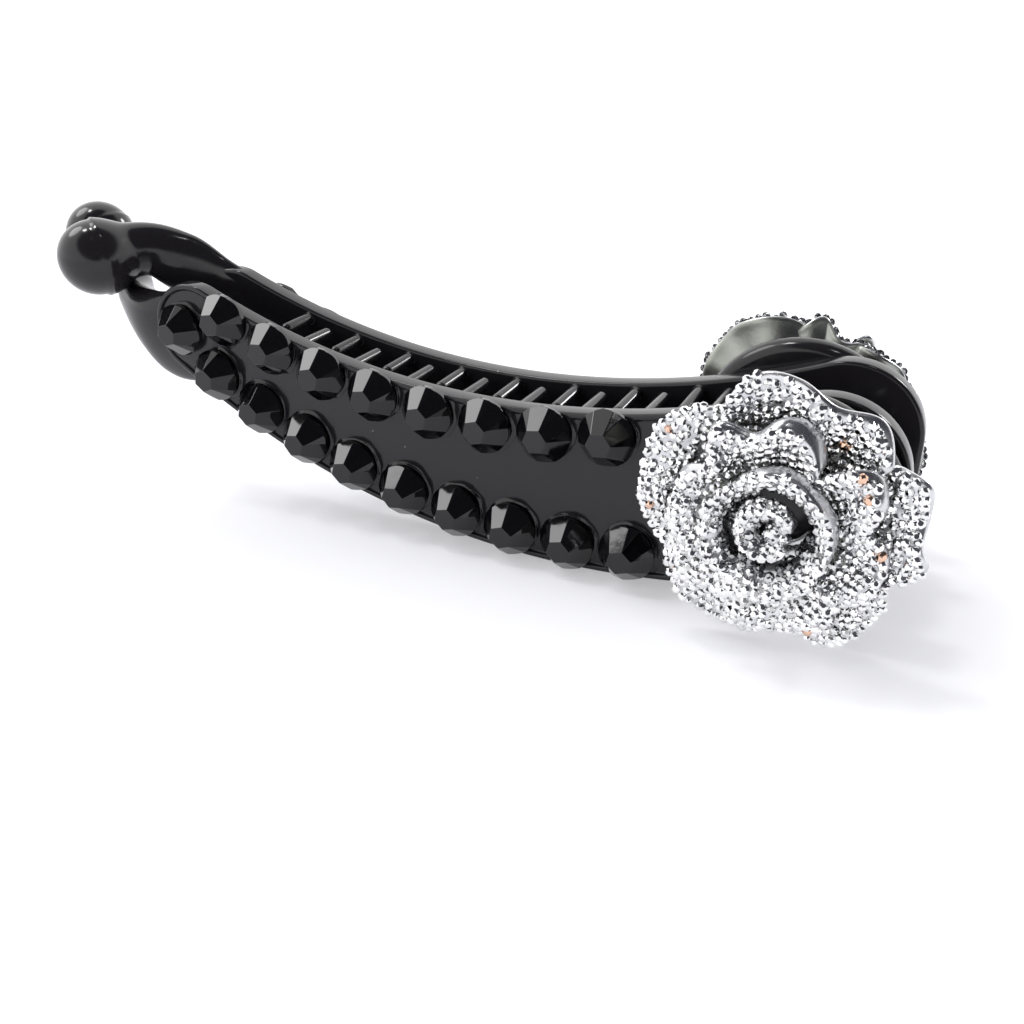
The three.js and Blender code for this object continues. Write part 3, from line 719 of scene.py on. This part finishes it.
def kept_on_plate(points):
    """Moves points that hang over the outline back to it: out from the rim's middle, in to the belly's
    middle, and in to the clasp end's."""
    xz = points[..., ::2]
    by_clasp = xz[..., :1] < CLASP_X - 0.5
    limits = ((RIM_C, RIM_R + PLATE_MARGIN, NO_LIMIT, 1), (BELLY_C, 0, BELLY_R - PLATE_MARGIN, 1),
              (END_C, 0, END_R - PLATE_MARGIN, by_clasp))
    for centre, low, high, where in limits:
        away = xz - centre
        far = np.linalg.norm(away, axis=-1, keepdims=True)
        xz = np.where(where, centre + away / far * np.clip(far, low, high), xz)
    return np.stack([xz[..., 0], points[..., 1], xz[..., 1]], -1)


for name, side in SIDES.items():
    parts = []
    for k, (x, z, radius) in enumerate(glue_parts[name]):
        points = skirt(radius, 100 + 40 * (side > 0) + k)
        points = kept_on_plate(on_face(points, side, x, z, OUTER - SUNK + 0.02))
        parts.append((points, grid_faces(len(points), SKIRT_SIDES, wrap=True)))
    points, faces = stacked(parts)
    made = piece(f"{name}_stone_glue", placed(points, side), faces, name, [GLUE])
    print(made.name, "faces:", len(made.data.polygons))

# %% [markdown]
# ## The roses
# A rose sits on a round black boss. Its petals are thin curved shells. Each is a surface over two
# parameters: u runs across the petal and v from its root to its rim. The rim's distance from the
# rose's middle changes across the petal, its height rises from the root and rolls over at the rim, and
# one side is tucked under the next petal.

# %% The boss under each rose
BASE_R, BASE_H, GLUE_GAP = 11.2, 3.0, 0.1
BOSS_ROLL, BOSS_SIDES = 1.2, 64


def boss():
    """A profile of radius and height turned about the middle: flat below, a rolled edge, and flat on
    top."""
    t = np.linspace(-math.pi / 2, math.pi / 2, 13)
    r = np.concatenate([[0, 4], BASE_R - BOSS_ROLL + BOSS_ROLL * np.cos(t), [8, 4, 0.0]])
    h = np.concatenate([[0, 0], BASE_H / 2 * (1 + np.sin(t)), [BASE_H] * 3])
    turn = np.linspace(0, 2 * math.pi, BOSS_SIDES, endpoint=False)
    return np.stack([r[:, None] * np.cos(turn), r[:, None] * np.sin(turn), h[:, None] + 0 * turn], -1)


# %% [markdown]
# A petal could be sculpted by hand. A formula keeps it smooth instead, and a few plain values say where
# it points, how wide it is, how far its rim reaches, and how the rim rolls over.

# %% One petal
def across(values, u):
    """A smooth curve through values at even steps of u from -1 to 1."""
    table = smooth_curve(np.array(values, float)[:, None], 201)[:, 0]
    return np.interp(u, np.linspace(-1, 1, 201), table)


def petal(p, u, v):
    """Angle, radius and height of a petal's points.
    The angle is centre + half * u, with a smaller half at the root. The radius goes evenly from the
    root's to the rim's. The height rises as v to the power rise, and four things are added: a cup that
    lifts the sides, a wave along the rim, a tilt from side to side, and a roll, where past the crest the
    height falls with the square of the way to the rim."""
    spread = p["waist"] + (1 - p["waist"]) * np.sqrt(v)
    angle = np.radians(p["centre"] + p["half"] * u * spread)
    rim = across(p["rim"], u)
    radius = p["root"] + (rim - p["root"]) * v
    rise = p["low"] + (p["high"] - p["low"]) * v ** p["rise"]
    wave = p["wave"] * np.cos(p["waves"] * math.pi * u + p["phase"]) * v ** 2
    roll = across(p["roll"], u) * np.clip((v - CREST) / (1 - CREST), 0, None) ** 2
    height = rise + wave + p["cup"] * u ** 2 * v + p["tilt"] * u * v - roll
    return np.stack([p["x"] + radius * np.cos(angle), p["y"] + radius * np.sin(angle), height], -1)


PLAIN = {
    "waist": 0.75, "root": 3.0, "low": 1.0, "high": 4.5, "rise": 1.0,
    "wave": 0.25, "waves": 2.0, "phase": 0.0, "cup": 0.0, "tilt": 0.0, "roll": [0.3] * 6,
    "x": 0.0, "y": 0.0, "bare": [0.0] * 6, "deep": 0.0,
}
CREST = 0.8


def petals_of(*rows):
    """Each row's own values, over the plain petal's."""
    return [dict(PLAIN, **row) for row in rows]


OUTER_FRONT = petals_of(
    dict(centre=78, half=41, rim=[12.2, 14.1, 13.1, 14.3, 14.4, 11.4], high=4.8, tilt=0.2, wave=0.45,
         waves=1.9, phase=0.5, roll=[0.9, 1.2, 1.0, 0.5, 0.3, 0.3], bare=[0.5, 0.8, 0.6, 0.3, 0.0, 0.0]),
    dict(centre=9, half=29, rim=[11.0, 13.9, 13.2, 13.8, 14.4, 12.3], high=4.2, tilt=-0.5, wave=0.55,
         waves=2.2, phase=2.0, roll=[0.3, 0.5, 0.9, 0.9, 0.7, 0.5], bare=[0.0, 0.1, 0.3, 0.4, 0.6, 0.4]),
    dict(centre=-50, half=29, rim=[11.0, 13.3, 13.7, 13.0, 12.6, 11.3], high=3.5, tilt=0.4, wave=0.45,
         phase=1.0),
    dict(centre=-115, half=41, rim=[11.2, 12.3, 13.0, 12.6, 11.8, 11.0], high=3.4, tilt=-0.3, wave=0.45,
         phase=3.0),
    dict(centre=160, half=45, rim=[11.2, 13.4, 13.8, 12.9, 12.4, 10.7], high=4.3, tilt=0.2, wave=0.45,
         waves=2.3, phase=4.0),
)
OUTER_REAR = petals_of(
    dict(centre=45, half=38, rim=[12.2, 13.2, 13.4, 13.5, 12.6, 10.6], high=4.2, tilt=0.2, wave=0.5,
         phase=0.5),
    dict(centre=100, half=22, rim=[10.4, 11.9, 11.4, 10.2, 10.4, 10.4], high=4.6, tilt=-0.3, wave=0.6,
         phase=2.0),
    dict(centre=146, half=30, rim=[10.6, 11.3, 11.6, 11.6, 12.0, 11.4], high=4.0, tilt=0.3, wave=0.5,
         phase=1.0),
    dict(centre=-150, half=38, rim=[11.2, 12.9, 13.2, 13.4, 12.8, 11.2], high=3.6, tilt=-0.2, wave=0.4,
         phase=3.0),
    dict(centre=-80, half=38, rim=[11.2, 12.9, 13.1, 12.8, 12.2, 11.0], high=3.5, tilt=0.3, wave=0.4,
         phase=4.0),
    dict(centre=-14, half=34, rim=[11.0, 12.8, 13.3, 13.4, 12.8, 11.4], high=3.8, tilt=0.2, wave=0.4,
         phase=2.6),
)
INNER = petals_of(
    dict(centre=96, half=37, rim=[8.6, 10.9, 11.4, 9.8, 11.4, 8.2], root=3.2, low=2.6, high=7.2, rise=0.7,
         wave=0.5, phase=0.7, roll=[2.8, 2.6, 2.2, 1.6, 1.0, 0.6], bare=[1.7, 1.5, 1.3, 0.9, 0.6, 0.4]),
    dict(centre=34, half=25, rim=[8.6, 10.4, 11.3, 11.5, 10.4, 7.8], root=3.2, low=2.4, high=6.9, rise=0.7,
         tilt=0.3, wave=0.4, phase=2.1, roll=[1.6, 2.0, 2.2, 2.0, 1.6, 1.2],
         bare=[0.8, 1.0, 1.1, 0.9, 0.7, 0.6]),
    dict(centre=-16, half=30, rim=[8.6, 10.4, 10.9, 11.0, 10.2, 8.4], root=3.2, low=2.3, high=5.7, rise=0.8,
         tilt=-0.3, wave=0.4, phase=1.2, roll=[0.5, 0.8, 1.0, 1.2, 1.2, 1.0],
         bare=[0.1, 0.1, 0.3, 0.4, 0.4, 0.3]),
    dict(centre=-78, half=42, rim=[8.6, 10.3, 10.8, 10.9, 10.3, 8.6], root=3.0, low=2.4, high=5.6, rise=0.8,
         tilt=0.2, wave=0.45, phase=3.3, roll=[0.8] * 6),
    dict(centre=-141, half=32, rim=[8.4, 10.0, 10.6, 10.4, 9.8, 8.2], root=3.0, low=2.3, high=5.4, rise=0.8,
         tilt=-0.2, wave=0.4, phase=0.3, roll=[0.8] * 6),
    dict(centre=171, half=36, rim=[8.0, 9.7, 9.9, 9.9, 9.6, 8.0], root=3.0, low=2.5, high=6.2, rise=0.75,
         tilt=0.3, wave=0.4, phase=5.0, roll=[1.0, 1.4, 1.5, 1.4, 1.0, 0.8],
         bare=[0.5, 0.7, 0.6, 0.4, 0.2, 0.1]),
)
HEART = petals_of(
    dict(centre=48, half=70, rim=[5.9, 6.4, 6.8, 7.0, 7.2, 6.4], root=4.0, low=3.6, high=8.3, rise=0.3,
         wave=0.35, waves=2.5, phase=0.4, roll=[2.6, 2.8, 2.6, 2.2, 1.9, 1.5], waist=0.95,
         bare=[1.7, 1.8, 1.6, 1.1, 0.8, 0.7], deep=0.16),
    dict(centre=170, half=66, rim=[5.4, 5.9, 6.1, 6.2, 6.1, 5.4], root=3.8, low=3.6, high=7.6, rise=0.3,
         wave=0.3, phase=1.9, roll=[0.9, 1.2, 1.4, 1.4, 1.2, 1.0], waist=0.95,
         bare=[0.2, 0.3, 0.4, 0.4, 0.4, 0.3], deep=0.16),
    dict(centre=-70, half=60, rim=[5.8, 6.4, 6.6, 6.4, 5.8, 5.0], root=3.4, low=4.4, high=7.0, rise=0.4,
         wave=0.3, phase=2.9, roll=[0.6] * 6, waist=0.95, deep=0.1),
    dict(centre=170, half=155, rim=[2.5, 2.9, 3.0, 3.0, 2.9, 2.3], root=0.9, low=6.4, high=8.6, rise=0.4,
         wave=0.25, waves=1.0, phase=0.9, roll=[2.4] * 6, waist=1.0, x=0.4, y=1.0,
         bare=[0.6, 0.2, 0.0, 0.0, 0.2, 0.6], deep=0.1),
    dict(centre=0, half=178, rim=[1.0, 1.1, 1.0, 1.2, 1.1, 1.0], root=0.1, low=8.1, high=7.2, rise=2.0,
         wave=0.0, roll=[0.4] * 6, waist=1.0, x=1.0, y=0.6),
)
ROSES = {"front": OUTER_FRONT + INNER + HEART, "rear": OUTER_REAR + INNER + HEART}
print("petals:", {name: len(rows) for name, rows in ROSES.items()})

# %% [markdown]
# The petals' faces are set with small domed chips, packed side by side in rows that follow the rim,
# and the rim itself stays smooth. Each chip is a low eight-sided cone with a flat top. It has only a few
# dozen triangles, because each rose has more than fourteen hundred chips.

# %% Chips on a petal
CHIP_SIDES = 8
CHIP_R = 0.5
CHIP_PITCH = 0.92
ROW_SHARE = 0.87
SHAKE = 0.012
MEASURES = 60


def chip_shape():
    """Three rings of points: a small table, a shoulder and a skirt that dips into the petal."""
    t = np.arange(CHIP_SIDES) * 2 * math.pi / CHIP_SIDES
    rings = [(0.48, 0.6, 0.0), (0.95, 0.2, 0.5), (1.0, -0.3, 0.5)]
    levels = [np.stack([r * np.cos(t + turn * t[1]), r * np.sin(t + turn * t[1]), h + 0 * t], -1)
              for r, h, turn in rings]
    points = np.concatenate(levels)
    n = CHIP_SIDES
    faces = [[0, i, i + 1] for i in range(1, n - 1)]
    for ring in (0, n):
        for i in range(n):
            a, b = ring + i, ring + (i + 1) % n
            faces += [[a, a + n, b], [b, a + n, b + n]]
    return points * CHIP_R, np.array(faces)


def chip_places(p, seed):
    """Rows at even steps from the rim to the root, each with as many chips as its length holds, and every
    place shaken a little. Returns points, normals from the petal's two slopes, and how near the rim each
    is."""
    draw = np.random.default_rng(seed)
    line = petal(p, np.zeros(MEASURES), np.linspace(0, 1, MEASURES))
    gone = np.concatenate([[0], np.cumsum(np.linalg.norm(np.diff(line, axis=0), axis=1))])
    wanted = gone[-1] - 0.12 - np.arange(40) * CHIP_PITCH * ROW_SHARE
    us, vs = [], []
    for k, place in enumerate(wanted[wanted > 0.4]):
        v = float(np.interp(place, gone, np.linspace(0, 1, MEASURES)))
        strip = petal(p, np.linspace(-1, 1, MEASURES), np.full(MEASURES, v))
        count = int(np.linalg.norm(np.diff(strip, axis=0), axis=1).sum() // CHIP_PITCH)
        if count > 1:
            u = (np.arange(count) + 0.5 + 0.5 * (k % 2) - 0.25) / count * 2 - 1
            us.append(u * 0.97)
            vs.append(np.full(count, v))
    u, v = np.concatenate(us), np.concatenate(vs)
    u = np.clip(u + draw.normal(0, SHAKE, len(u)), -0.97, 0.97)
    v = np.clip(v + draw.normal(0, SHAKE, len(v)), 0.02, 0.995)
    kept = ((1 - v) * gone[-1] >= across(p["bare"], u)) & (v >= p["deep"])
    u, v = u[kept], v[kept]
    e = 0.002
    du = petal(p, u + e, v) - petal(p, u - e, v)
    dv = petal(p, u, v + e) - petal(p, u, v - e)
    normal = np.cross(dv, du)
    normal /= np.linalg.norm(normal, axis=1)[:, None]
    normal *= np.sign(normal[:, 2:] + 1e-9)
    return petal(p, u, v), normal, v


def set_chips(places, normals, seed):
    """Every chip at once: its shape turned by a random spin, leaned by a small random tilt, and stood on
    the petal's normal."""
    draw = np.random.default_rng(seed)
    shape, faces = chip_shape()
    n = normals + draw.normal(0, 0.2, normals.shape)
    n /= np.linalg.norm(n, axis=1)[:, None]
    helper = np.where(np.abs(n[:, :1]) < 0.8, [[1.0, 0, 0]], [[0, 1.0, 0]])
    a = np.cross(n, helper)
    a /= np.linalg.norm(a, axis=1)[:, None]
    b = np.cross(n, a)
    spin = draw.uniform(0, math.pi, len(n))[:, None]
    a, b = a * np.cos(spin) + b * np.sin(spin), b * np.cos(spin) - a * np.sin(spin)
    size = draw.uniform(0.86, 1.12, len(n))[:, None, None]
    x, y, z = shape[None, :, :1], shape[None, :, 1:2], shape[None, :, 2:]
    points = places[:, None] + size * (x * a[:, None] + y * b[:, None] + z * n[:, None])
    index = faces[None] + (np.arange(len(n)) * len(shape))[:, None, None]
    return points.reshape(-1, 3), index.reshape(-1, 3)


# %% [markdown]
# Both roses have the same inner petals and heart, and differ in their outer petals. A rose's chips are
# one mesh, with two values kept on every point: tone, which differs at random from chip to chip and is
# painted darker near the petals' roots as painted shade, where light hardly gets in, and warm, for the
# few chips with a copper tint.

# %% Build the two roses
ROSE_PLACES = {"front": (33.3, -3.9), "rear": (31.2, -3.9)}
PETAL_THICK = 0.75
PETAL_COLUMNS, PETAL_ROWS = 33, 15
WARM_FROM = 0.988

for name, side in SIDES.items():
    x, z = ROSE_PLACES[name]
    under = OUTER + GLUE_GAP
    points = boss()
    made = piece(f"{name}_rose_boss", placed(on_face(points, side, x, z, under), side),
                 grid_faces(len(points), BOSS_SIDES, wrap=True), name, [ABS])
    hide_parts(f"{name}_rose_base")
    base = under + BASE_H + GLUE_GAP
    u, v = np.meshgrid(np.linspace(-1, 1, PETAL_COLUMNS), np.linspace(0, 1, PETAL_ROWS), indexing="xy")
    shells = [(on_face(petal(p, u, v), side, x, z, base),
               grid_faces(PETAL_ROWS, PETAL_COLUMNS)) for p in ROSES[name]]
    points, faces = stacked(shells)
    flower = piece(f"{name}_rose_petals", placed(points, side), faces, name,
                   [SILVER, SILVER_BACK])
    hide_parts(f"{name}_rose")
    found = [chip_places(p, 500 + k) for k, p in enumerate(ROSES[name])]
    places, normals, near_rim = (np.concatenate(part) for part in zip(*found))
    points, faces = set_chips(places, normals, 900 + side)
    draw = np.random.default_rng(40 + side)
    # Random tone per chip, times painted shade that darkens the chips towards the petals' roots.
    tone = draw.uniform(0.72, 1.0, len(places)) * np.clip(near_rim / 0.5, 0.12, 1.0)
    warm = draw.uniform(0, 1, len(places)) > WARM_FROM
    mesh = bpy.data.meshes.new(f"{name}_rose_chips")
    mesh.from_pydata(placed(on_face(points, side, x, z, base), side).tolist(), [], faces.tolist())
    for key, values in (("tone", tone), ("warm", warm)):
        each = np.repeat(values, len(points) // len(places)).astype(np.float32)
        mesh.attributes.new(key, "FLOAT", "POINT").data.foreach_set("value", each)
    mesh.shade_flat()
    mesh.materials.append(CHIPS)
    chips = bpy.data.objects.new(mesh.name, mesh)
    bpy.context.scene.collection.objects.link(chips)
    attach(chips, name)
    print(name, "chips:", len(places), "petal faces:", len(flower.data.polygons))

# %% [markdown]
# Each petal so far is a sheet with no thickness. Its upper side has to face outwards before Solidify
# gives it a wall, so the faces are turned by hand: away from the arm.

# %% Give the petals their thickness
for name, side in SIDES.items():
    flower = bpy.data.objects[f"{name}_rose_petals"]
    mesh = flower.data
    normals = np.zeros(len(mesh.polygons) * 3, np.float32)
    mesh.polygons.foreach_get("normal", normals)
    wrong = np.nonzero(normals.reshape(-1, 3)[:, 1] * side < 0)[0]
    print(flower.name, "faces turned:", len(wrong), "of", len(mesh.polygons))
    b = bmesh.new()
    b.from_mesh(mesh)
    b.faces.ensure_lookup_table()
    bmesh.ops.reverse_faces(b, faces=[b.faces[i] for i in wrong])
    b.to_mesh(mesh)
    b.free()
    wall = flower.modifiers.new("wall", "SOLIDIFY")
    wall.thickness = PETAL_THICK * MM
    wall.offset = -1
    wall.material_offset = 1
    wall.material_offset_rim = 0
    fine = flower.modifiers.new("fine", "SUBSURF")
    fine.levels = fine.render_levels = 1

# %% [markdown]
# The pin is drawn wire with a head at one end. It sits inside the barrels, where hardly any of it shows,
# so its solid stays as it is and only its material changes.

# %% The hinge pin keeps its solid
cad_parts["hinge_pin"].data.materials.clear()
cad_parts["hinge_pin"].data.materials.append(STEEL)

# %% [markdown]
# ## Floor and light
# The clip lies on white paper in a bright room. It has a dark part high up on the viewer's side, which
# is what makes black plastic look black, and a large window high on the left gives the bright facets.

# %% Floor
FLOOR_SIZE = 8.0
mesh = bpy.data.meshes.new("floor")
h = FLOOR_SIZE / 2
mesh.from_pydata([(-h, -h, 0), (h, -h, 0), (h, h, 0), (-h, h, 0)], [], [(0, 1, 2, 3)])
floor = bpy.data.objects.new("floor", mesh)
bpy.context.scene.collection.objects.link(floor)
paper, tree, shader = new_material("paper_white_matt")
shader.inputs["Roughness"].default_value = 0.9
shader.inputs["Specular IOR Level"].default_value = 0.1
place = add(tree, "TexCoord")
fibre = add(tree, "TexNoise", {"Scale": per_metre(2.5), "Detail": 3.0}, {"Vector": (place, "Object")})
tone = add(tree, "Mix", {"data_type": "RGBA", "A": linear("#dfdfe4"), "B": linear("#e4e4e8")},
           {"Factor": (fibre, "Fac")})
join(tree, tone, "Result", shader, "Base Color")
shader.inputs["Emission Color"].default_value = linear("#fafafd")
shader.inputs["Emission Strength"].default_value = 0.28
mesh.materials.append(paper)

# %% [markdown]
# Polished black shows hardly any colour of its own: what is seen is the room in it. So the light is a
# white room with one dark part, which only reflections see, and a few soft suns for windows and lamps.

# %% The room and the window
def sun(name, towards, degrees, strength):
    """A sun lamp seen in that direction, as wide as a window that fills so many degrees."""
    lamp = bpy.data.lights.new(name, "SUN")
    lamp.energy = strength
    lamp.angle = math.radians(degrees)
    made = bpy.data.objects.new(name, lamp)
    bpy.context.scene.collection.objects.link(made)
    made.rotation_mode = "QUATERNION"
    made.rotation_quaternion = Vector(towards).to_track_quat("Z", "Y")


sun("window", (-0.71, 0.02, 0.70), 26, 0.52)
sun("back_window", (0.46, 0.8, 0.38), 12, 0.5)
sun("lamp", (0.22, -0.2, 0.95), 4, 0.08)
sun("edge_lamp", (-0.38, 0.02, 0.92), 8, 0.3)

world = bpy.data.worlds.new("room")
bpy.context.scene.world = world
world.use_nodes = True
tree = world.node_tree
tree.nodes.clear()
place = add(tree, "TexCoord")
DARK_SIDE = Vector((0.5, -0.35, 0.8)).normalized()
facing = add(tree, "VectorMath", {"operation": "DOT_PRODUCT", 1: DARK_SIDE}, {0: (place, "Generated")})
dark = add(tree, "MapRange", {"interpolation_type": "SMOOTHSTEP", "From Min": 0.5, "From Max": 0.68},
           {"Value": (facing, "Value")})
seen_by = add(tree, "LightPath")
unseen = add(tree, "Math", {"operation": "SUBTRACT", 0: 1.0}, {1: (seen_by, "Is Camera Ray")})
shade = add(tree, "Math", {"operation": "MULTIPLY"}, {0: (dark, "Result"), 1: (unseen, "Value")})
room = add(tree, "Mix", {"data_type": "RGBA", "A": linear("#ffffff"), "B": linear("#3c3c42")},
           {"Factor": (shade, "Value")})
glow = add(tree, "Background", {"Strength": 1.1})
join(tree, room, "Result", glow, "Color")
add(tree, "OutputWorld", links={"Surface": (glow, "Background")})
bpy.context.scene.view_settings.view_transform = "Standard"
bpy.context.scene.view_settings.exposure = 0.5
